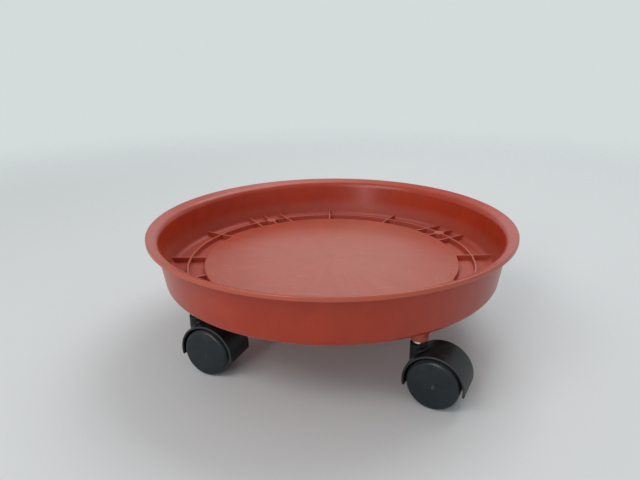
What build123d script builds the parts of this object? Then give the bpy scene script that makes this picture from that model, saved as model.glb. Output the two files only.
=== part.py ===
# Round plant caddy: a moulded saucer with a flared lip and a raised platform,
# carried on four hooded twin-wheel swivel casters.
# Millimetres, +Z up. The origin is on the floor, under the middle of the saucer.
import os
from math import cos, radians, sin, sqrt, tan

from build123d import *

# Casters in order round the saucer, and the way each one's wheels trail at rest,
# in degrees from +X
CASTERS = ("rear_right", "rear_left", "front_left", "front_right")
HEADINGS = {"rear_right": -8.0, "rear_left": -12.5, "front_left": -8.5, "front_right": -11.7}
FIRST_STEM_ANGLE = 45.0

# Wheels: -Y is a caster's left, because its wheels trail to +X of its stem
WHEEL_SIDES = {"left_wheel": 1, "right_wheel": -1}
WHEEL_DIAMETER = 50.0
WHEEL_WIDTH = 12.6
WHEEL_DOME_HEIGHT = 0.9
WHEEL_EDGE_RADIUS = 3.8
WHEEL_RIM_WALL = 2.6
WHEEL_FACE_WALL = 2.4
WHEEL_HUB_DIAMETER = 11.0
SPOKE_COUNT = 6
SPOKE_THICKNESS = 1.6
SPOKE_SETBACK = 1.5

# Axle, and the bead in each hub that snaps into its groove
AXLE_DIAMETER = 6.0
AXLE_SEAT_CLEARANCE = 0.02
AXLE_RUNNING_CLEARANCE = 0.05
AXLE_END_GAP = 0.4
AXLE_CHAMFER = 0.5
AXLE_GROOVE_DEPTH = 0.6
AXLE_GROOVE_WIDTH = 1.8
AXLE_GROOVE_SETBACK = 2.0
BEAD_CLEARANCE = 0.2

# Hood: a web between the wheels, a fender round them and an upright neck
WEB_THICKNESS = 11.0
WEB_HUB_DIAMETER = 19.0
WHEEL_SIDE_GAP = 0.6
HOOD_GAP = 2.3
HOOD_WALL = 2.3
HOOD_WIDTH = 35.0
HOOD_EDGE_RADIUS = 0.9
HOOD_REAR_ANGLE = 9.0
HOOD_FRONT_ANGLE = 13.0
NECK_DIAMETER = 17.0
NECK_SETBACK = 1.9
NECK_RISE = 2.4
NECK_EDGE_RADIUS = 0.8
NECK_ROOT_RADIUS = 1.8

# Stem: a journal in the hood's neck, a collar and a shank in the saucer's socket
JOURNAL_DIAMETER = 8.0
JOURNAL_LENGTH = 24.0
JOURNAL_CLEARANCE = 0.05
JOURNAL_END_GAP = 0.8
STEM_CHAMFER = 0.8
COLLAR_GAP = 0.3
COLLAR_DIAMETER = 13.0
COLLAR_HEIGHT = 3.2
COLLAR_EDGE_RADIUS = 0.9
SHANK_DIAMETER = 9.6
SHANK_LENGTH = 20.0
SHANK_TIP_RADIUS = 1.6

# Clip: a spring ring in the journal's groove, free to turn in the neck's recess
CLIP_DEPTH = 6.0
CLIP_THICKNESS = 1.0
CLIP_WALL = 1.2
CLIP_SLOT = 2.2
CLIP_GROOVE_DEPTH = 0.7
CLIP_FIT = 0.05
CLIP_CLEARANCE = 0.3

# Grip ring: a split ring in the shank's groove, tight in the socket
GRIP_HEIGHT = 9.0
GRIP_SETBACK = 5.0
GRIP_GROOVE_DEPTH = 0.5
GRIP_SLOT = 1.6
GRIP_FIT = 0.05
SOCKET_FIT = 0.02

# Saucer socket: the round boss that holds a stem, with gussets under the floor
SOCKET_BORE = 11.0
SOCKET_WALL = 3.0
SOCKET_EDGE_RADIUS = 0.8
SOCKET_TOP_DIAMETER = 12.6
SOCKET_END_GAP = 1.0
SOCKET_DROP = 19.9
GUSSET_REACH = 9.0
GUSSET_SETBACK = 5.0

# Saucer, from the lip inwards: each width is counted from the one before it
LIP_DIAMETER = 400.0
LIP_OVERHANG = 10.0
LIP_ANGLE = 24.0
LIP_EDGE = 5.0
LIP_EDGE_RADIUS = 1.2
LIP_ROOT_RADIUS = 1.6
LIP_BLEND_RADIUS = 8.0
RIM_RISE = 43.6
WALL = 3.2
WALL_FLARE = 7.2
BASE_CORNER_RADIUS = 6.6
FOOT_DROP = 3.4
FOOT_WIDTH = 3.5
FLOOR = 3.0
STEM_INSET = 22.8
MOAT_WIDTH = 40.4
MOAT_CORNER_RADIUS = 5.0
PLATFORM_RISE = 5.7
PLATFORM_EDGE_RADIUS = 0.8
PLATFORM_DRAFT_WIDTH = 0.4
RIB_THICKNESS = 1.9
RIB_SPREAD = 22.0
PLAIN_RIB_ANGLE = 30.0
UNDER_RIB_COUNT = 12
UNDER_RING_RADIUS = 35.0

# Heights above the floor, from the wheels up to the lip. The neck stands a set
# distance behind the front of the fender, and that gives the trail.
AXLE_Z = WHEEL_DIAMETER / 2
HOOD_INNER_RADIUS = WHEEL_DIAMETER / 2 + HOOD_GAP
HOOD_RADIUS = HOOD_INNER_RADIUS + HOOD_WALL
TRAIL = HOOD_RADIUS - NECK_SETBACK - NECK_DIAMETER / 2
NECK_Z = AXLE_Z + HOOD_RADIUS + NECK_RISE
COLLAR_Z = NECK_Z + COLLAR_GAP
SOCKET_Z = COLLAR_Z + COLLAR_HEIGHT
UNDERSIDE_Z = SOCKET_Z + SOCKET_DROP
FOOT_Z = UNDERSIDE_Z - FOOT_DROP
MOAT_Z = UNDERSIDE_Z + FLOOR
PLATFORM_Z = MOAT_Z + PLATFORM_RISE
RIM_Z = PLATFORM_Z + RIM_RISE

# Places along the axle and the stem, counted from the wheels' middle plane and the floor
WHEEL_INNER_FACE = WEB_THICKNESS / 2 + WHEEL_SIDE_GAP
WHEEL_OUTER_FACE = WHEEL_INNER_FACE + WHEEL_WIDTH
HUB_BORE_END = WHEEL_OUTER_FACE - WHEEL_FACE_WALL
AXLE_HALF_LENGTH = HUB_BORE_END - AXLE_END_GAP
AXLE_GROOVE_START = AXLE_HALF_LENGTH - AXLE_GROOVE_SETBACK - AXLE_GROOVE_WIDTH
SHANK_TOP = SOCKET_Z + SHANK_LENGTH
GRIP_Z = SHANK_TOP - GRIP_SETBACK - GRIP_HEIGHT
CLIP_Z = NECK_Z - CLIP_DEPTH - CLIP_THICKNESS
CLIP_BORE_RADIUS = JOURNAL_DIAMETER / 2 - CLIP_GROOVE_DEPTH + CLIP_FIT

# Saucer section, worked out from its sizes
LIP_RADIUS = LIP_DIAMETER / 2
WALL_TOP_RADIUS = LIP_RADIUS - LIP_OVERHANG
BASE_RADIUS = WALL_TOP_RADIUS - WALL_FLARE
STEM_CIRCLE_RADIUS = BASE_RADIUS - STEM_INSET
PLATFORM_RADIUS = BASE_RADIUS - MOAT_WIDTH
PLATFORM_STEP_RADIUS = PLATFORM_RADIUS - FLOOR
SOCKET_RADIUS = SOCKET_BORE / 2 + SOCKET_WALL
LIP_TAN = tan(radians(LIP_ANGLE))
LIP_ROOT_Z = RIM_Z - LIP_EDGE - LIP_OVERHANG * LIP_TAN
WALL_SLOPE = WALL_FLARE / (LIP_ROOT_Z - FOOT_Z)

# Each caster piece is made with its stem on the Z axis. The wheels' plane lies
# between them, x along the trail and y up. The axle's plane has x along the
# axle to the left, and y is the radius.
WHEEL_CENTRE = (TRAIL, 0, AXLE_Z)
WHEEL_PLANE = Plane(origin=WHEEL_CENTRE, x_dir=(1, 0, 0), z_dir=(0, -1, 0))
AXLE_PLANE = Plane(origin=WHEEL_CENTRE, x_dir=(0, -1, 0), z_dir=(-1, 0, 0))
AXLE_AXIS = Axis(WHEEL_CENTRE, (0, -1, 0))


def stem_angle(name):
    """Angle of a caster's stem about the saucer's axis."""
    return FIRST_STEM_ANGLE + CASTERS.index(name) * 360 / len(CASTERS)


def stem_centre(name):
    """Point on the floor under a caster's stem."""
    angle = radians(stem_angle(name))
    return (STEM_CIRCLE_RADIUS * cos(angle), STEM_CIRCLE_RADIUS * sin(angle), 0)


def outer_wall_radius(height):
    """Radius of the outside of the saucer's wall at a height."""
    return BASE_RADIUS + WALL_SLOPE * (height - FOOT_Z)


def lip_inner_corner():
    """Where the inside of the wall would meet the sloping top of the lip."""
    start = BASE_RADIUS - WALL
    rise = RIM_Z - LIP_RADIUS * LIP_TAN - FOOT_Z
    radius = (start + WALL_SLOPE * rise) / (1 - WALL_SLOPE * LIP_TAN)
    return radius, RIM_Z - (LIP_RADIUS - radius) * LIP_TAN


def rib_span(offset):
    """Start and end of a moat rib along its own line, offset sideways from the axis."""
    start = sqrt((PLATFORM_RADIUS - FLOOR / 2) ** 2 - offset**2)
    end = sqrt((outer_wall_radius(PLATFORM_Z) - WALL * 3 / 4) ** 2 - offset**2)
    return start, end


def saucer_corners():
    """Half section of the saucer as (radius, height, corner radius)."""
    foot_radius = BASE_RADIUS - BASE_CORNER_RADIUS - FOOT_WIDTH
    lip_radius, lip_z = lip_inner_corner()
    return [
        (0, PLATFORM_Z - FLOOR, 0),
        (PLATFORM_STEP_RADIUS, PLATFORM_Z - FLOOR, 0),
        (PLATFORM_STEP_RADIUS, UNDERSIDE_Z, 0),
        (foot_radius, UNDERSIDE_Z, 0),
        (foot_radius, FOOT_Z, 0),
        (BASE_RADIUS, FOOT_Z, BASE_CORNER_RADIUS),
        (WALL_TOP_RADIUS, LIP_ROOT_Z, LIP_ROOT_RADIUS),
        (LIP_RADIUS, RIM_Z - LIP_EDGE, LIP_EDGE_RADIUS),
        (LIP_RADIUS, RIM_Z, LIP_EDGE_RADIUS),
        (lip_radius, lip_z, LIP_BLEND_RADIUS),
        (outer_wall_radius(MOAT_Z) - WALL, MOAT_Z, MOAT_CORNER_RADIUS),
        (PLATFORM_RADIUS + PLATFORM_DRAFT_WIDTH, MOAT_Z, 0),
        (PLATFORM_RADIUS, PLATFORM_Z, PLATFORM_EDGE_RADIUS),
        (0, PLATFORM_Z, 0),
    ]


def gusset_plane(name, quarter):
    """Upright plane through a stem, x away from it at a quarter turn, y up."""
    turn = radians(stem_angle(name) + quarter * 90)
    return Plane(stem_centre(name), (cos(turn), sin(turn), 0), (sin(turn), -cos(turn), 0))


def make_saucer():
    """Revolved tray with ribs above and below, and braced caster sockets."""
    corners = saucer_corners()
    count = len(CASTERS)
    start, end = rib_span(0)
    side_start, side_end = rib_span(RIB_SPREAD)
    side_middle = (side_start + side_end) / 2
    with BuildPart() as saucer:
        with BuildSketch(Plane.XZ):
            with BuildLine():
                FilletPolyline([c[:2] for c in corners], radius=[c[2] for c in corners], close=True)
            make_face()
        revolve(axis=Axis.Z)

        # Ring rib through the sockets' tops, and straight ribs across the moat
        with BuildSketch(Plane.XY.offset(MOAT_Z)):
            Circle(STEM_CIRCLE_RADIUS + RIB_THICKNESS / 2)
            Circle(STEM_CIRCLE_RADIUS - RIB_THICKNESS / 2, mode=Mode.SUBTRACT)
            for turn in (-PLAIN_RIB_ANGLE, 0, PLAIN_RIB_ANGLE):
                with PolarLocations((start + end) / 2, count, FIRST_STEM_ANGLE + turn):
                    Rectangle(end - start, RIB_THICKNESS)
            with PolarLocations(0, count, FIRST_STEM_ANGLE):
                with Locations((side_middle, RIB_SPREAD), (side_middle, -RIB_SPREAD)):
                    Rectangle(side_end - side_start, RIB_THICKNESS)
            with PolarLocations(STEM_CIRCLE_RADIUS, count, FIRST_STEM_ANGLE):
                Circle(SOCKET_TOP_DIAMETER / 2)
        extrude(amount=PLATFORM_RISE)

        # Spokes and a ring that stiffen the platform from below
        spoke_length = PLATFORM_STEP_RADIUS + FLOOR / 2 - UNDER_RING_RADIUS
        with BuildSketch(Plane.XY.offset(UNDERSIDE_Z)):
            Circle(UNDER_RING_RADIUS + RIB_THICKNESS / 2)
            Circle(UNDER_RING_RADIUS - RIB_THICKNESS / 2, mode=Mode.SUBTRACT)
            with PolarLocations(UNDER_RING_RADIUS + spoke_length / 2, UNDER_RIB_COUNT):
                Rectangle(spoke_length, RIB_THICKNESS)
        extrude(amount=PLATFORM_RISE + FLOOR / 2)

        # Sockets, each braced by four gussets under the floor
        with BuildSketch(Plane.XY.offset(SOCKET_Z)):
            with PolarLocations(STEM_CIRCLE_RADIUS, count, FIRST_STEM_ANGLE):
                Circle(SOCKET_RADIUS)
        extrude(amount=MOAT_Z - SOCKET_Z)
        fillet(saucer.edges().group_by(Axis.Z)[0], radius=SOCKET_EDGE_RADIUS)
        for name in CASTERS:
            for quarter in range(4):
                with BuildSketch(gusset_plane(name, quarter)):
                    with BuildLine():
                        Polyline(
                            (0, UNDERSIDE_Z + FLOOR / 2),
                            (SOCKET_RADIUS + GUSSET_REACH, UNDERSIDE_Z + FLOOR / 2),
                            (SOCKET_RADIUS + GUSSET_REACH, UNDERSIDE_Z),
                            (SOCKET_RADIUS, SOCKET_Z + GUSSET_SETBACK),
                            (0, SOCKET_Z + GUSSET_SETBACK),
                            close=True,
                        )
                    make_face()
        extrude(amount=RIB_THICKNESS / 2, both=True)
        with BuildSketch(Plane.XY.offset(SOCKET_Z)):
            with PolarLocations(STEM_CIRCLE_RADIUS, count, FIRST_STEM_ANGLE):
                Circle(SOCKET_BORE / 2)
        extrude(amount=SHANK_LENGTH + SOCKET_END_GAP, mode=Mode.SUBTRACT)
    return saucer.part


def make_stem():
    """Turned stem: journal with a clip groove, collar, and shank with a ring groove."""
    journal = JOURNAL_DIAMETER / 2
    shank = SHANK_DIAMETER / 2
    collar = COLLAR_DIAMETER / 2
    bottom = COLLAR_Z - JOURNAL_LENGTH
    corners = [
        (0, bottom, 0),
        (journal - STEM_CHAMFER, bottom, 0),
        (journal, bottom + STEM_CHAMFER, 0),
        (journal, CLIP_Z - CLIP_FIT, 0),
        (journal - CLIP_GROOVE_DEPTH, CLIP_Z - CLIP_FIT, 0),
        (journal - CLIP_GROOVE_DEPTH, CLIP_Z + CLIP_THICKNESS + CLIP_FIT, 0),
        (journal, CLIP_Z + CLIP_THICKNESS + CLIP_FIT, 0),
        (journal, COLLAR_Z, 0),
        (collar, COLLAR_Z, COLLAR_EDGE_RADIUS),
        (collar, SOCKET_Z, COLLAR_EDGE_RADIUS),
        (shank, SOCKET_Z, 0),
        (shank, GRIP_Z - GRIP_FIT, 0),
        (shank - GRIP_GROOVE_DEPTH, GRIP_Z - GRIP_FIT, 0),
        (shank - GRIP_GROOVE_DEPTH, GRIP_Z + GRIP_HEIGHT + GRIP_FIT, 0),
        (shank, GRIP_Z + GRIP_HEIGHT + GRIP_FIT, 0),
        (shank, SHANK_TOP, SHANK_TIP_RADIUS),
        (0, SHANK_TOP, 0),
    ]
    with BuildPart() as stem:
        with BuildSketch(Plane.XZ):
            with BuildLine():
                FilletPolyline([c[:2] for c in corners], radius=[c[2] for c in corners], close=True)
            make_face()
        revolve(axis=Axis.Z)
    return stem.part


def make_split_ring(bottom, height, inner, outer, slot):
    """Ring round the stem, open on the trailing side."""
    with BuildPart() as ring:
        with BuildSketch(Plane.XY.offset(bottom)):
            Circle(outer)
            Circle(inner, mode=Mode.SUBTRACT)
            with Locations((outer / 2, 0)):
                Rectangle(outer, slot, mode=Mode.SUBTRACT)
        extrude(amount=height)
    return ring.part


def make_grip_ring():
    """Split ring in the shank's groove, tight against the socket."""
    inner = SHANK_DIAMETER / 2 - GRIP_GROOVE_DEPTH + GRIP_FIT
    return make_split_ring(GRIP_Z, GRIP_HEIGHT, inner, SOCKET_BORE / 2 - SOCKET_FIT, GRIP_SLOT)


def make_clip():
    """Open spring ring that stands out of the journal's groove."""
    outer = CLIP_BORE_RADIUS + CLIP_WALL
    return make_split_ring(CLIP_Z, CLIP_THICKNESS, CLIP_BORE_RADIUS, outer, CLIP_SLOT)


def make_hood():
    """Moulded housing: neck, fender round both wheels, and the web that holds the axle."""
    sweep = 180 + HOOD_REAR_ANGLE + HOOD_FRONT_ANGLE
    fender_middle = HOOD_INNER_RADIUS + HOOD_WALL / 2
    rear = radians(HOOD_REAR_ANGLE)
    fender_plane = Plane(WHEEL_CENTRE, (cos(rear), 0, -sin(rear)), (sin(rear), 0, cos(rear)))
    with BuildPart() as hood:
        # Neck, cleared where it would reach into the wheels' space
        with BuildSketch(Plane.XY.offset(AXLE_Z)):
            Circle(NECK_DIAMETER / 2)
        extrude(amount=NECK_Z - AXLE_Z)
        with BuildSketch(WHEEL_PLANE):
            Circle(HOOD_INNER_RADIUS)
        extrude(amount=NECK_DIAMETER, both=True, mode=Mode.SUBTRACT)

        # Fender, blended into the neck
        with BuildSketch(fender_plane):
            with Locations((fender_middle, 0)):
                RectangleRounded(HOOD_WALL, HOOD_WIDTH, HOOD_EDGE_RADIUS)
        revolve(axis=AXLE_AXIS, revolution_arc=sweep)
        neck_wall = hood.faces().filter_by(GeomType.CYLINDER).sort_by(SortBy.RADIUS)[0]
        fillet(neck_wall.edges().sort_by(Axis.Z)[0], radius=NECK_ROOT_RADIUS)
        fillet(hood.edges().group_by(Axis.Z)[-1], radius=NECK_EDGE_RADIUS)

        # Web between the wheels
        with BuildSketch(WHEEL_PLANE):
            with BuildLine():
                arc = CenterArc((0, 0), fender_middle, -HOOD_REAR_ANGLE, sweep)
                Line(arc @ 1, (0, 0))
                Line((0, 0), arc @ 0)
            make_face()
            Circle(WEB_HUB_DIAMETER / 2)
        extrude(amount=WEB_THICKNESS / 2, both=True)

        # Axle hole, stem bore and the recess that the clip turns in
        with BuildSketch(WHEEL_PLANE):
            Circle(AXLE_DIAMETER / 2 + AXLE_SEAT_CLEARANCE)
        extrude(amount=WEB_THICKNESS, both=True, mode=Mode.SUBTRACT)
        with BuildSketch(Plane.XY.offset(NECK_Z)):
            Circle(JOURNAL_DIAMETER / 2 + JOURNAL_CLEARANCE)
        bore_depth = JOURNAL_LENGTH - COLLAR_GAP + JOURNAL_END_GAP
        extrude(amount=-bore_depth, mode=Mode.SUBTRACT)
        with BuildSketch(Plane.XY.offset(CLIP_Z - CLIP_CLEARANCE)):
            Circle(CLIP_BORE_RADIUS + CLIP_WALL + CLIP_CLEARANCE)
        extrude(amount=CLIP_THICKNESS + 2 * CLIP_CLEARANCE, mode=Mode.SUBTRACT)
    return hood.part


def make_axle():
    """Steel pin with a groove near each end for the beads in the hubs."""
    radius = AXLE_DIAMETER / 2
    groove = radius - AXLE_GROOVE_DEPTH
    groove_end = AXLE_GROOVE_START + AXLE_GROOVE_WIDTH
    half = [
        (AXLE_GROOVE_START, radius),
        (AXLE_GROOVE_START, groove),
        (groove_end, groove),
        (groove_end, radius),
        (AXLE_HALF_LENGTH - AXLE_CHAMFER, radius),
        (AXLE_HALF_LENGTH, radius - AXLE_CHAMFER),
        (AXLE_HALF_LENGTH, 0),
    ]
    other_half = [(-x, r) for x, r in reversed(half)]
    with BuildPart() as axle:
        with BuildSketch(AXLE_PLANE):
            with BuildLine():
                Polyline(half + other_half, close=True)
            make_face()
        revolve(axis=AXLE_AXIS)
    return axle.part


def make_wheel(side):
    """Smooth-faced wheel, hollow towards the web, with a hub and spokes inside."""
    tread = WHEEL_DIAMETER / 2
    bore = AXLE_DIAMETER / 2 + AXLE_RUNNING_CLEARANCE
    bead = AXLE_DIAMETER / 2 - AXLE_GROOVE_DEPTH + BEAD_CLEARANCE
    bead_start = AXLE_GROOVE_START + BEAD_CLEARANCE
    bead_end = AXLE_GROOVE_START + AXLE_GROOVE_WIDTH - BEAD_CLEARANCE
    hub = WHEEL_HUB_DIAMETER / 2
    rim = tread - WHEEL_RIM_WALL
    face = WHEEL_OUTER_FACE - WHEEL_FACE_WALL
    inside = [
        (HUB_BORE_END, 0),
        (HUB_BORE_END, bore),
        (bead_end, bore),
        (bead_end, bead),
        (bead_start, bead),
        (bead_start, bore),
        (WHEEL_INNER_FACE, bore),
        (WHEEL_INNER_FACE, hub),
        (face, hub),
        (face, rim),
        (WHEEL_INNER_FACE, rim),
        (WHEEL_INNER_FACE, tread),
        (WHEEL_OUTER_FACE, tread),
    ]
    crown = (side * (WHEEL_OUTER_FACE + WHEEL_DOME_HEIGHT), 0)
    shoulder = (side * WHEEL_OUTER_FACE, tread)
    spoke_start = WHEEL_INNER_FACE + SPOKE_SETBACK
    with BuildPart() as wheel:
        with BuildSketch(AXLE_PLANE) as section:
            with BuildLine():
                Polyline([(side * x, r) for x, r in inside])
                TangentArc(crown, shoulder, tangent=(0, 1))
                Line(crown, (side * HUB_BORE_END, 0))
            make_face()
            fillet(section.vertices().sort_by_distance(shoulder)[0], WHEEL_EDGE_RADIUS)
        revolve(axis=AXLE_AXIS)
        with BuildSketch(WHEEL_PLANE.offset(side * spoke_start)):
            with PolarLocations((hub + rim) / 2, SPOKE_COUNT):
                Rectangle(rim - hub + WHEEL_RIM_WALL, SPOKE_THICKNESS)
        extrude(amount=side * (face + WHEEL_FACE_WALL / 2 - spoke_start))
    return wheel.part


def save(part, label):
    """Label a finished piece and write its STEP file."""
    part.label = label
    export_step(part, f"parts/{label}.step")


def main():
    """Make every piece, then write the saucer and each caster's own copies."""
    os.makedirs("parts", exist_ok=True)
    save(make_saucer(), "saucer")
    caster = {
        "stem": make_stem(),
        "grip_ring": make_grip_ring(),
        "stem_clip": make_clip(),
        "hood": make_hood(),
        "axle": make_axle(),
    }
    for label, side in WHEEL_SIDES.items():
        caster[label] = make_wheel(side)
    for name in CASTERS:
        place = Location(stem_centre(name), (0, 0, HEADINGS[name]))
        for label, piece in caster.items():
            save(piece.moved(place), f"{name}_{label}")


main()
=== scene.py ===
import math

import bpy
from mathutils import Matrix, Vector

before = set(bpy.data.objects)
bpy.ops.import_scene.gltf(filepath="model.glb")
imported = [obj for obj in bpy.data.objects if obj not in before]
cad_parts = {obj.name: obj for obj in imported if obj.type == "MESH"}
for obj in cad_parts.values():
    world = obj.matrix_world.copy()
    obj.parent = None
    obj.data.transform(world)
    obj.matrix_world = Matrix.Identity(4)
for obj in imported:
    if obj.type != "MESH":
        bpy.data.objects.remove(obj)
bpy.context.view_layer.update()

# Camera, fitted to the lip, platform and ribs of the photograph. Positions are in
# the photograph's own frame, turned onto the part's frame by VIEW_TURN.
VIEW_TURN = math.radians(15.5)
CAMERA_PLACE = (-0.01228, -0.60206, 0.3237)
CAMERA_PITCH = 0.343
CAMERA_YAW = -0.0003
CAMERA_ROLL = -0.0113
CAMERA_CLIP_START = 0.01
CAMERA_CLIP_END = 50
FOCAL_PIXELS = 565.4
IMAGE_WIDTH = 640
SENSOR_WIDTH = 36.0

# Places on the part that the materials follow
LIP_RADIUS = 0.200
PLATFORM_RADIUS = 0.1424
PLATFORM_Z = 0.0891
INSIDE_RADIUS = 0.1845
UNDER_RIB_COUNT = 12
UNDER_RING_RADIUS = 0.035
WHEEL_RADIUS = 0.025
HOOD_HALF_WIDTH = 0.0175
CASTERS = ("rear_right", "rear_left", "front_left", "front_right")
MM = 0.001

# Ranges over which a mask rises from nothing to full. The facing is the height of the
# surface normal: 1 looks up, -1 looks down.
UP_FACING = (0.75, 0.97)
DOWN_FACING = (-0.75, -0.97)
NOT_DOWN_FACING = (-0.20, 0.0)
PLATFORM_EDGE = (PLATFORM_RADIUS, PLATFORM_RADIUS - 0.004)
OFF_PLATFORM = (PLATFORM_RADIUS, PLATFORM_RADIUS + 0.002)
INSIDE_EDGE = (INSIDE_RADIUS, INSIDE_RADIUS - 0.002)
MOAT_HEIGHT = (0.1000, 0.0900)
LIP_EDGE = (LIP_RADIUS - 0.0016, LIP_RADIUS - 0.0002)
SINK_START = (0.036, 0.042)
SAUCER_GATE = (0.0042, 0.0038)
SAUCER_GATE_STUB = (0.0013, 0.0010)
HOOD_UP_FACING = (0.55, 0.95)
HOOD_RIM = (HOOD_HALF_WIDTH - 0.0011, HOOD_HALF_WIDTH - 0.0002)
HOOD_OUTSIDE = (0.0285, 0.0290)
TREAD = (WHEEL_RADIUS - 0.0010, WHEEL_RADIUS - 0.0001)
TURNED_FACE = (WHEEL_RADIUS - 0.003, WHEEL_RADIUS - 0.004)
WHEEL_GATE = (0.0017, 0.0013)
WHEEL_GATE_STUB = (0.0006, 0.0004)

# Widths of moulding marks, and the height band of the painted highlight on the rib tops
RIB_TOP_DEPTH = 0.0007
SINK_HALF_WIDTH = 0.0035
EJECTOR_CIRCLE = 0.090
EJECTOR_RADIUS = 0.004
EJECTOR_MARK_WIDTH = 0.0004
PARTING_HALF_WIDTH = 0.00022

# How densely drawn-out patterns repeat, for each metre or radian
FLOW_DENSITY = (5.0, 9.0, 20.0)
SCUFF_DENSITY = (330.0, 2.4)
PLATFORM_SCRATCH_DENSITY = (30.0, 420.0)
HOOD_SCRATCH_DENSITY = (90.0, 900.0, 260.0)
WHEEL_SCRATCH_DENSITY = (1100.0, 700.0, 110.0)
TREAD_WEAR_DENSITY = (900.0, 60.0)
WHEEL_TURNING_DENSITY = 9000.0
STEEL_TURNING_DENSITY = 5200.0

# Colours, linear
CLAY_DARK = (0.352, 0.0285, 0.0080)
CLAY_LIGHT = (0.398, 0.0365, 0.0105)
CLAY_CLOUD = (0.318, 0.0245, 0.0070)
# Pale film on the platform: partly dust, partly a painted sheen that stands in for reflected
# light
DUST_AND_SHEEN_COLOR = (0.44, 0.235, 0.140)
SPECK_COLOR = (0.62, 0.47, 0.40)
SCUFF_COLOR = (0.60, 0.33, 0.26)
SCRATCH_COLOR = (0.62, 0.36, 0.29)
BLOOM_COLOR = (0.55, 0.36, 0.32)
# Painted highlight on the lip's rounded outer edge
LIP_EDGE_HIGHLIGHT = (0.52, 0.135, 0.080)
# Painted highlight on the rib tops
RIB_TOP_HIGHLIGHT = (0.55, 0.170, 0.100)
HOOD_DARK = (0.0040, 0.0054, 0.0064)
HOOD_LIGHT = (0.0066, 0.0086, 0.0096)
HOOD_DUST_COLOR = (0.22, 0.17, 0.15)
# Painted highlight along the hood's rounded rim
HOOD_RIM_HIGHLIGHT = (0.050, 0.058, 0.056)
HOOD_SCRATCH_COLOR = (0.06, 0.065, 0.068)
WHEEL_DARK = (0.0060, 0.0108, 0.0145)
WHEEL_LIGHT = (0.0105, 0.0165, 0.0210)
WHEEL_WEAR_COLOR = (0.115, 0.098, 0.088)
WHEEL_SMUDGE_COLOR = (0.060, 0.066, 0.072)
WHEEL_SCRATCH_COLOR = (0.10, 0.11, 0.115)

# Steels: colour, roughness, height of the turning marks in millimetres, and how
# bright the tarnished colour is beside the clean one
STEELS = {
    "plated_steel": ((0.76, 0.79, 0.83), 0.10, 0.0015, 0.72),
    "spring_steel": ((0.34, 0.335, 0.33), 0.30, 0.003, 0.60),
    "axle_steel": ((0.52, 0.52, 0.51), 0.24, 0.003, 0.70),
}
STEEL_PIECES = (
    ("stem", "plated_steel"),
    ("grip_ring", "spring_steel"),
    ("stem_clip", "spring_steel"),
    ("axle", "axle_steel"),
)

# Stage and light. A lamp is its name, place, target, size, power in watts and colour,
# with places in the photograph's frame.
FLOOR_RADIUS = 3.0
FLOOR_SEGMENTS = 96
FLOOR_FADE = (0.6, 1.7)
FLOOR_COLOR = (0.66, 0.67, 0.67)
FLOOR_CLOUD_COLOR = (0.61, 0.62, 0.62)
BACKGROUND_COLOR = (0.66, 0.71, 0.71)
AMBIENT_COLOR = (0.66, 0.70, 0.72)
AMBIENT_STRENGTH = 0.62
LAMPS = (
    ("key", (-0.95, -0.95, 1.5), (0, 0, 0.1), (1.2, 0.8), 11.5, (1.0, 0.985, 0.96)),
    ("top", (0.55, 0.75, 1.6), (0, 0, 0.1), (1.2, 1.0), 13, (0.97, 0.985, 1.0)),
    ("window", (-1.3, -2.4, 0.95), (0.05, 0.18, 0.11), (0.33, 1.3), 15, (0.95, 0.97, 1.0)),
    ("wall", (0.05, 2.3, 1.25), (0, 0, 0.1), (1.0, 0.8), 1.6, (0.96, 0.98, 1.0)),
)


def make_camera():
    """Camera at the photograph's viewing angle."""
    sy, cy = math.sin(CAMERA_YAW), math.cos(CAMERA_YAW)
    sp, cp = math.sin(CAMERA_PITCH), math.cos(CAMERA_PITCH)
    sr, cr = math.sin(CAMERA_ROLL), math.cos(CAMERA_ROLL)
    forward = Vector((sy * cp, cy * cp, -sp))
    right = Vector((cy, -sy, 0))
    up = right.cross(forward)
    side = right * cr + up * sr
    top = up * cr - right * sr
    turn = Matrix.Rotation(VIEW_TURN, 3, "Z")
    axes = [turn @ v for v in (side, top, -forward)]
    place = turn @ Vector(CAMERA_PLACE)
    rows = [[axes[c][r] for c in range(3)] + [place[r]] for r in range(3)]
    data = bpy.data.cameras.new("camera")
    data.sensor_fit = "HORIZONTAL"
    data.sensor_width = SENSOR_WIDTH
    data.lens = FOCAL_PIXELS / IMAGE_WIDTH * SENSOR_WIDTH
    data.clip_start = CAMERA_CLIP_START
    data.clip_end = CAMERA_CLIP_END
    camera = bpy.data.objects.new("camera", data)
    bpy.context.scene.collection.objects.link(camera)
    camera.matrix_world = Matrix(rows + [[0, 0, 0, 1]])
    bpy.context.scene.camera = camera


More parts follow.
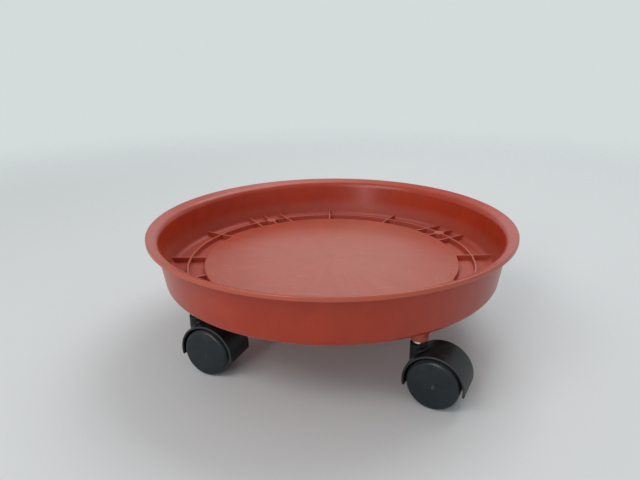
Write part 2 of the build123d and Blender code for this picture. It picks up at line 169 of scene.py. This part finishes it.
class Nodes:
    """Short way to build a node material around a Principled shader."""

    def __init__(self, name):
        self.material = bpy.data.materials.new(name)
        self.material.use_nodes = True
        self.tree = self.material.node_tree
        self.tree.nodes.clear()
        self.out = self.tree.nodes.new("ShaderNodeOutputMaterial")
        self.shader = self.tree.nodes.new("ShaderNodeBsdfPrincipled")
        self.tree.links.new(self.shader.outputs["BSDF"], self.out.inputs["Surface"])

    def put(self, socket, value):
        """Link a socket to another one, or set its value."""
        if isinstance(value, bpy.types.NodeSocket):
            self.tree.links.new(value, socket)
        else:
            socket.default_value = value

    def set(self, name, value):
        """Feed one input of the shader."""
        self.put(self.shader.inputs[name], value)

    def math(self, operation, *values):
        node = self.tree.nodes.new("ShaderNodeMath")
        node.operation = operation
        for socket, value in zip(node.inputs, values):
            self.put(socket, value)
        return node.outputs[0]

    def vector(self, operation, *values, out=0):
        node = self.tree.nodes.new("ShaderNodeVectorMath")
        node.operation = operation
        for socket, value in zip(node.inputs, values):
            self.put(socket, value)
        return node.outputs[out]

    def split(self, value):
        node = self.tree.nodes.new("ShaderNodeSeparateXYZ")
        self.put(node.inputs[0], value)
        return node.outputs

    def join(self, *parts):
        """Vector from up to three parts. Missing ones stay zero."""
        node = self.tree.nodes.new("ShaderNodeCombineXYZ")
        for socket, value in zip(node.inputs, parts):
            self.put(socket, value)
        return node.outputs[0]

    def coordinate(self, name):
        """Position ("Object") or normal ("Normal") in the piece's own coordinates."""
        return self.tree.nodes.new("ShaderNodeTexCoord").outputs[name]

    def noise(self, place, scale, detail=2.0, rough=0.5, distortion=0.0):
        node = self.tree.nodes.new("ShaderNodeTexNoise")
        self.put(node.inputs["Vector"], place)
        self.put(node.inputs["Scale"], scale)
        self.put(node.inputs["Detail"], detail)
        self.put(node.inputs["Roughness"], rough)
        self.put(node.inputs["Distortion"], distortion)
        return node.outputs["Fac"]

    def cells(self, place, scale):
        """Distance to the nearest of scattered points."""
        node = self.tree.nodes.new("ShaderNodeTexVoronoi")
        self.put(node.inputs["Vector"], place)
        self.put(node.inputs["Scale"], scale)
        return node.outputs["Distance"]

    def ramp(self, value, start, end, low=0.0, high=1.0):
        """Smooth step from low to high between two values."""
        node = self.tree.nodes.new("ShaderNodeMapRange")
        node.interpolation_type = "SMOOTHSTEP"
        for name, number in (("Value", value), ("From Min", start), ("From Max", end)):
            self.put(node.inputs[name], number)
        self.put(node.inputs["To Min"], low)
        self.put(node.inputs["To Max"], high)
        return node.outputs[0]

    def mix(self, factor, first, second):
        node = self.tree.nodes.new("ShaderNodeMix")
        node.data_type = "RGBA"
        self.put(node.inputs[0], factor)
        for socket, color in ((node.inputs[6], first), (node.inputs[7], second)):
            self.put(socket, (*color, 1) if isinstance(color, tuple) else color)
        return node.outputs[2]

    def product(self, *values):
        result = values[0]
        for value in values[1:]:
            result = self.math("MULTIPLY", result, value)
        return result

    def weighted(self, start, *terms):
        """Start value plus each term's value times its weight."""
        result = start
        for value, weight in terms:
            result = self.math("ADD", result, self.product(value, weight))
        return result

    def distance(self, across, along):
        """Length of a flat vector."""
        squares = self.math("ADD", self.product(across, across), self.product(along, along))
        return self.math("SQRT", squares)

    def stretched(self, values, densities):
        """Place in a pattern that repeats more densely in some directions."""
        return self.join(*[self.product(v, d) for v, d in zip(values, densities)])

    def band(self, value, middle, half_width):
        """One at the middle, fading to nothing at half the width to each side."""
        offset = self.math("ABSOLUTE", self.math("SUBTRACT", value, middle))
        return self.ramp(offset, 0.0, half_width, 1.0, 0.0)

    def layered(self, base, *layers):
        """Base colour under layers, each a mask, its strength and its colour."""
        for mask, strength, color in layers:
            base = self.mix(self.product(mask, strength), base, color)
        return base

    def relief(self, edge_radius, *terms):
        """Bump over softly rounded edges, each term a pattern and its height in millimetres."""
        bevel = self.tree.nodes.new("ShaderNodeBevel")
        bevel.samples = 4
        bevel.inputs["Radius"].default_value = edge_radius
        bump = self.tree.nodes.new("ShaderNodeBump")
        bump.inputs["Distance"].default_value = MM
        self.put(bump.inputs["Height"], self.weighted(0.0, *terms))
        self.put(bump.inputs["Normal"], bevel.outputs[0])
        self.set("Normal", bump.outputs[0])


class SaucerNodes(Nodes):
    """Nodes for the saucer, with masks for its platform, its moat and its inside."""

    def __init__(self, name):
        super().__init__(name)
        self.place = self.coordinate("Object")
        self.x, self.y, self.z = self.split(self.place)
        facing = self.split(self.coordinate("Normal"))[2]
        self.radius = self.distance(self.x, self.y)
        self.angle = self.math("ARCTAN2", self.y, self.x)
        self.up = self.ramp(facing, *UP_FACING)
        self.down = self.ramp(facing, *DOWN_FACING)
        self.cloud = self.noise(self.place, scale=11.0, detail=3.0, rough=0.55)
        self.fine = self.noise(self.place, scale=160.0, detail=3.0, rough=0.6)
        self.on_platform = self.product(self.up, self.ramp(self.radius, *PLATFORM_EDGE))
        beside = self.math("SUBTRACT", self.ramp(self.radius, *INSIDE_EDGE), self.on_platform)
        self.inside = self.product(beside, self.ramp(facing, *NOT_DOWN_FACING))
        self.moat = self.product(self.inside, self.ramp(self.z, *MOAT_HEIGHT))


def melt_color(n):
    """Clay colours that follow the melt's flow from the middle, with faint clouds."""
    place = n.stretched((n.angle, n.radius, n.z), FLOW_DENSITY)
    flow = n.noise(place, scale=1.6, detail=4.0, rough=0.6, distortion=0.4)
    base = n.mix(n.ramp(flow, 0.3, 0.7), CLAY_DARK, CLAY_LIGHT)
    return n.mix(n.ramp(n.cloud, 0.35, 0.7, low=0.0, high=0.35), base, CLAY_CLOUD)


def platform_wear(n):
    """Arcs scuffed into the platform by pots, and straighter scratches."""
    arcs = n.stretched((n.radius, n.angle), SCUFF_DENSITY)
    scuff = n.noise(arcs, scale=1.0, detail=5.0, rough=0.62, distortion=0.25)
    lines = n.stretched((n.x, n.y), PLATFORM_SCRATCH_DENSITY)
    scratch = n.noise(lines, scale=1.0, detail=3.0, rough=0.5, distortion=1.4)
    scuffed = n.product(n.ramp(scuff, 0.60, 0.72), n.on_platform)
    scratched = n.product(n.ramp(scratch, 0.69, 0.74), n.on_platform)
    return scuffed, scratched


def dust_specks(n):
    """Small specks on what faces up, in loose groups."""
    specks = n.ramp(n.cells(n.place, scale=260.0), 0.10, 0.03)
    groups = n.ramp(n.noise(n.place, scale=40.0), 0.50, 0.66)
    return n.product(specks, groups, n.up)


def mould_marks(n):
    """Sink marks over the ribs and ring below the platform, and ejector pins' marks."""
    sector = math.tau / UNDER_RIB_COUNT
    turn = n.math("PINGPONG", n.angle, sector / 2)
    off_rib = n.product(turn, n.radius)
    rib = n.ramp(off_rib, 0.0, SINK_HALF_WIDTH, low=1.0, high=0.0)
    rib = n.product(rib, n.ramp(n.radius, *SINK_START))
    ring = n.band(n.radius, UNDER_RING_RADIUS, SINK_HALF_WIDTH)
    sink = n.product(n.math("MAXIMUM", rib, ring), n.on_platform)
    off_middle = n.product(n.math("SUBTRACT", sector / 2, turn), n.radius)
    from_pin = n.distance(off_middle, n.math("SUBTRACT", n.radius, EJECTOR_CIRCLE))
    pins = n.product(n.band(from_pin, EJECTOR_RADIUS, EJECTOR_MARK_WIDTH), n.down)
    return sink, pins


def saucer_relief(n, scuffed, scratched):
    """Mould texture, waves, sink marks, ejector marks, gate and wear."""
    sink, pins = mould_marks(n)
    n.relief(
        0.0005,
        (n.noise(n.place, scale=2600.0), 0.006),
        (n.noise(n.place, scale=700.0), 0.010),
        (n.noise(n.place, scale=22.0), 0.30),
        (sink, -0.045),
        (n.product(n.ramp(n.radius, *SAUCER_GATE), n.up), -0.25),
        (n.product(n.ramp(n.radius, *SAUCER_GATE_STUB), n.up), 0.2),
        (pins, 0.12),
        (scuffed, -0.010),
        (scratched, -0.015),
    )


def make_terracotta():
    """Moulded terracotta plastic: scuffed platform under a pale film that is partly dust and
    partly painted sheen, chalky bloom inside the wall, and painted highlights on the lip edge
    and rib tops."""
    n = SaucerNodes("terracotta")
    patchy = n.noise(n.place, scale=6.0, detail=4.0, rough=0.6, distortion=0.3)
    patches = n.ramp(patchy, 0.32, 0.72, low=0.05, high=0.17)
    # film over the platform: partly dust, partly a painted sheen of reflected light
    dust_and_sheen = n.product(n.on_platform, n.weighted(patches, (n.fine, 0.07)))
    bloom = n.product(n.inside, n.weighted(0.055, (patches, 0.35)))
    scuffed, scratched = platform_wear(n)
    # painted highlight on the up-facing rib tops beside the platform
    rib_top_highlight = n.product(n.up, n.band(n.z, PLATFORM_Z, RIB_TOP_DEPTH))
    rib_top_highlight = n.product(rib_top_highlight, n.ramp(n.radius, *OFF_PLATFORM))
    color = n.layered(
        melt_color(n),
        (dust_and_sheen, 1.0, DUST_AND_SHEEN_COLOR),
        (dust_specks(n), 0.35, SPECK_COLOR),
        (scuffed, 0.20, SCUFF_COLOR),
        (scratched, 0.22, SCRATCH_COLOR),
        (bloom, 1.0, BLOOM_COLOR),
        # painted highlight along the lip's outer edge
        (n.ramp(n.radius, *LIP_EDGE), 0.50, LIP_EDGE_HIGHLIGHT),
        (rib_top_highlight, 0.45, RIB_TOP_HIGHLIGHT),
    )
    rough = n.weighted(0.24, (n.cloud, 0.06), (n.fine, 0.04), (dust_and_sheen, 0.10))
    rough = n.weighted(rough, (scuffed, 0.10), (n.down, 0.08), (n.moat, 0.20))
    n.set("Base Color", color)
    n.set("Roughness", rough)
    n.set("Specular IOR Level", 0.42)
    saucer_relief(n, scuffed, scratched)
    return n.material


def around_axis(n, place, centre, axis):
    """Distance along an axle from the wheels' middle, and distance from the axle."""
    offset = n.vector("SUBTRACT", place, tuple(centre))
    along = n.vector("DOT_PRODUCT", offset, tuple(axis), out=1)
    shadow = n.vector("SCALE", tuple(axis))
    n.put(shadow.node.inputs["Scale"], along)
    radius = n.vector("LENGTH", n.vector("SUBTRACT", offset, shadow), out=1)
    return along, radius


def make_hood_nylon(name, centre, axis):
    """Black moulded nylon with a fine spark texture, a parting line, some dust and a painted
    highlight along the rim.
    """
    n = Nodes(f"{name}_nylon")
    place = n.coordinate("Object")
    along, radius = around_axis(n, place, centre, axis)
    up = n.ramp(n.split(n.coordinate("Normal"))[2], *HOOD_UP_FACING)
    cloud = n.noise(place, scale=38.0, detail=4.0, rough=0.6)
    fine = n.noise(place, scale=420.0, detail=3.0, rough=0.6)
    dusty = n.noise(place, scale=70.0, detail=4.0, rough=0.65)
    dust = n.product(up, n.ramp(dusty, 0.40, 0.75, low=0.0, high=0.10))
    rim = n.ramp(n.math("ABSOLUTE", along), *HOOD_RIM)
    lines = n.vector("MULTIPLY", place, HOOD_SCRATCH_DENSITY)
    scratch = n.noise(lines, scale=1.0, detail=3.0, rough=0.5, distortion=1.2)
    color = n.layered(
        n.mix(n.ramp(cloud, 0.35, 0.7), HOOD_DARK, HOOD_LIGHT),
        (dust, 1.0, HOOD_DUST_COLOR),
        # painted highlight along the rim
        (rim, 0.55, HOOD_RIM_HIGHLIGHT),
        (n.ramp(scratch, 0.70, 0.76), 0.25, HOOD_SCRATCH_COLOR),
    )
    n.set("Base Color", color)
    n.set("Roughness", n.weighted(0.34, (cloud, 0.10), (fine, 0.05), (dust, 0.8), (rim, -0.06)))
    n.set("Specular IOR Level", 0.26)
    parting = n.product(n.band(along, 0.0, PARTING_HALF_WIDTH), n.ramp(radius, *HOOD_OUTSIDE))
    n.relief(
        0.0004,
        (n.noise(place, scale=3800.0), 0.010),
        (n.noise(place, scale=1300.0), 0.008),
        (n.noise(place, scale=60.0), 0.10),
        (parting, 0.05),
    )
    return n.material


def make_wheel_nylon(name, centre, axis):
    """Satin wheel plastic: smooth domed face with a gate mark, scuffed dusty tread."""
    n = Nodes(f"{name}_nylon")
    place = n.coordinate("Object")
    along, radius = around_axis(n, place, centre, axis)
    cloud = n.noise(place, scale=55.0, detail=4.0, rough=0.6)
    fine = n.noise(place, scale=500.0, detail=3.0, rough=0.6)
    tread = n.ramp(radius, *TREAD)
    worn = n.noise(n.stretched((along, radius), TREAD_WEAR_DENSITY), scale=1.0, detail=4.0)
    wear = n.weighted(0.0, (n.ramp(worn, 0.40, 0.65), 0.5), (fine, 0.5))
    wear = n.product(tread, wear)
    touched = n.noise(place, scale=85.0, detail=5.0, rough=0.65, distortion=0.5)
    smudge = n.ramp(touched, 0.52, 0.74, low=0.0, high=0.16)
    lines = n.vector("MULTIPLY", place, WHEEL_SCRATCH_DENSITY)
    scratch = n.noise(lines, scale=1.0, detail=3.0, rough=0.5, distortion=1.0)
    color = n.layered(
        n.mix(n.ramp(cloud, 0.3, 0.7), WHEEL_DARK, WHEEL_LIGHT),
        (wear, 0.55, WHEEL_WEAR_COLOR),
        (smudge, 1.0, WHEEL_SMUDGE_COLOR),
        (n.ramp(scratch, 0.71, 0.77), 0.22, WHEEL_SCRATCH_COLOR),
    )
    n.set("Base Color", color)
    n.set("Roughness", n.weighted(0.25, (cloud, 0.08), (smudge, 0.5), (tread, 0.20)))
    n.set("Specular IOR Level", 0.38)
    turning = n.math("SINE", n.product(radius, WHEEL_TURNING_DENSITY))
    n.relief(
        0.0003,
        (n.noise(place, scale=2600.0), 0.005),
        (n.noise(place, scale=75.0), 0.10),
        (n.product(turning, n.ramp(radius, *TURNED_FACE)), 0.0006),
        (n.ramp(radius, *WHEEL_GATE), -0.030),
        (n.ramp(radius, *WHEEL_GATE_STUB), 0.015),
        (wear, -0.03),
    )
    return n.material


def make_steel(name, color, rough, grain_height, darkening):
    """Steel with fine turning marks and light tarnish."""
    n = Nodes(name)
    place = n.coordinate("Object")
    z = n.split(place)[2]
    stain = n.noise(place, scale=130.0, detail=4.0, rough=0.6, distortion=0.3)
    tarnish = n.ramp(stain, 0.42, 0.75)
    grain_place = n.join(0.0, 0.0, n.product(z, STEEL_TURNING_DENSITY))
    grain = n.noise(grain_place, scale=1.0, detail=3.0)
    dark = tuple(c * darkening for c in color)
    n.set("Base Color", n.layered(color, (tarnish, 0.6, dark)))
    n.set("Metallic", 1.0)
    n.set("Roughness", n.weighted(rough, (tarnish, 0.12), (grain, 0.05)))
    n.relief(0.0002, (grain, grain_height), (n.noise(place, scale=1500.0), 0.002))
    return n.material


def local_centre(node):
    """Middle of a node's mesh, in its own coordinates."""
    corners = [Vector(c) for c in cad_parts[node].bound_box]
    return sum(corners, Vector()) / len(corners)


def middle_between(node, first, second):
    """Point between two nodes' middles and the direction from the second to the first,
    both in another node's coordinates."""
    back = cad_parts[node].matrix_world.inverted()
    ends = [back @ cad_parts[n].matrix_world @ local_centre(n) for n in (first, second)]
    return (ends[0] + ends[1]) / 2, (ends[0] - ends[1]).normalized()


def set_material(node, material):
    """Give every slot of a CAD node one material."""
    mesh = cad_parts[node].data
    if not mesh.materials:
        mesh.materials.append(material)
    for index in range(len(mesh.materials)):
        mesh.materials[index] = material


def dress():
    """Materials for all nodes."""
    set_material("saucer", make_terracotta())
    steels = {name: make_steel(name, *look) for name, look in STEELS.items()}
    for caster in CASTERS:
        for piece, steel in STEEL_PIECES:
            set_material(f"{caster}_{piece}", steels[steel])
        hood = f"{caster}_hood"
        left, right = f"{caster}_left_wheel", f"{caster}_right_wheel"
        centre, direction = middle_between(hood, left, right)
        set_material(hood, make_hood_nylon(hood, centre, direction))
        for wheel in (left, right):
            centre, direction = middle_between(wheel, left, right)
            set_material(wheel, make_wheel_nylon(wheel, centre, direction))


def make_floor():
    """Pale floor that fades into the background far from the part, clear from below."""
    ring = [math.tau * k / FLOOR_SEGMENTS for k in range(FLOOR_SEGMENTS)]
    points = [(FLOOR_RADIUS * math.cos(a), FLOOR_RADIUS * math.sin(a), 0) for a in ring]
    mesh = bpy.data.meshes.new("floor")
    mesh.from_pydata(points, [], [tuple(range(FLOOR_SEGMENTS))])
    floor = bpy.data.objects.new("floor", mesh)
    bpy.context.scene.collection.objects.link(floor)
    n = Nodes("floor")
    place = n.coordinate("Object")
    distance = n.vector("LENGTH", place, out=1)
    under = n.tree.nodes.new("ShaderNodeNewGeometry").outputs["Backfacing"]
    fade = n.ramp(distance, *FLOOR_FADE, low=1.0, high=0.0)
    cloud = n.noise(place, scale=3.0, detail=3.0)
    fine = n.noise(place, scale=30.0, detail=3.0)
    n.set("Base Color", n.layered(FLOOR_COLOR, (cloud, 0.06, FLOOR_CLOUD_COLOR)))
    n.set("Roughness", n.weighted(0.55, (fine, 0.08)))
    n.set("Alpha", n.product(fade, n.math("SUBTRACT", 1.0, under)))
    mesh.materials.append(n.material)


def make_world():
    """Soft surrounding light, and the pale background that the camera and gloss see."""
    world = bpy.data.worlds.new("world")
    bpy.context.scene.world = world
    world.use_nodes = True
    tree = world.node_tree
    tree.nodes.clear()
    out = tree.nodes.new("ShaderNodeOutputWorld")
    path = tree.nodes.new("ShaderNodeLightPath")
    ambient = tree.nodes.new("ShaderNodeBackground")
    ambient.inputs["Color"].default_value = (*AMBIENT_COLOR, 1)
    ambient.inputs["Strength"].default_value = AMBIENT_STRENGTH
    seen = tree.nodes.new("ShaderNodeBackground")
    seen.inputs["Color"].default_value = (*BACKGROUND_COLOR, 1)
    mix = tree.nodes.new("ShaderNodeMixShader")
    shown = tree.nodes.new("ShaderNodeMath")
    shown.operation = "MAXIMUM"
    tree.links.new(path.outputs["Is Camera Ray"], shown.inputs[0])
    tree.links.new(path.outputs["Is Glossy Ray"], shown.inputs[1])
    tree.links.new(shown.outputs[0], mix.inputs[0])
    tree.links.new(ambient.outputs[0], mix.inputs[1])
    tree.links.new(seen.outputs[0], mix.inputs[2])
    tree.links.new(mix.outputs[0], out.inputs["Surface"])


def make_lamp(name, place, target, size, power, color):
    """Rectangular lamp placed in the photograph's frame."""
    data = bpy.data.lights.new(name, "AREA")
    data.shape = "RECTANGLE"
    data.size, data.size_y = size
    data.energy = power
    data.color = color
    lamp = bpy.data.objects.new(name, data)
    bpy.context.scene.collection.objects.link(lamp)
    turn = Matrix.Rotation(VIEW_TURN, 3, "Z")
    lamp.location = turn @ Vector(place)
    aim = turn @ Vector(target) - lamp.location
    lamp.rotation_euler = aim.to_track_quat("-Z", "Y").to_euler()


bpy.context.scene.view_settings.view_transform = "Standard"
dress()
make_camera()
make_floor()
make_world()
for lamp in LAMPS:
    make_lamp(*lamp)
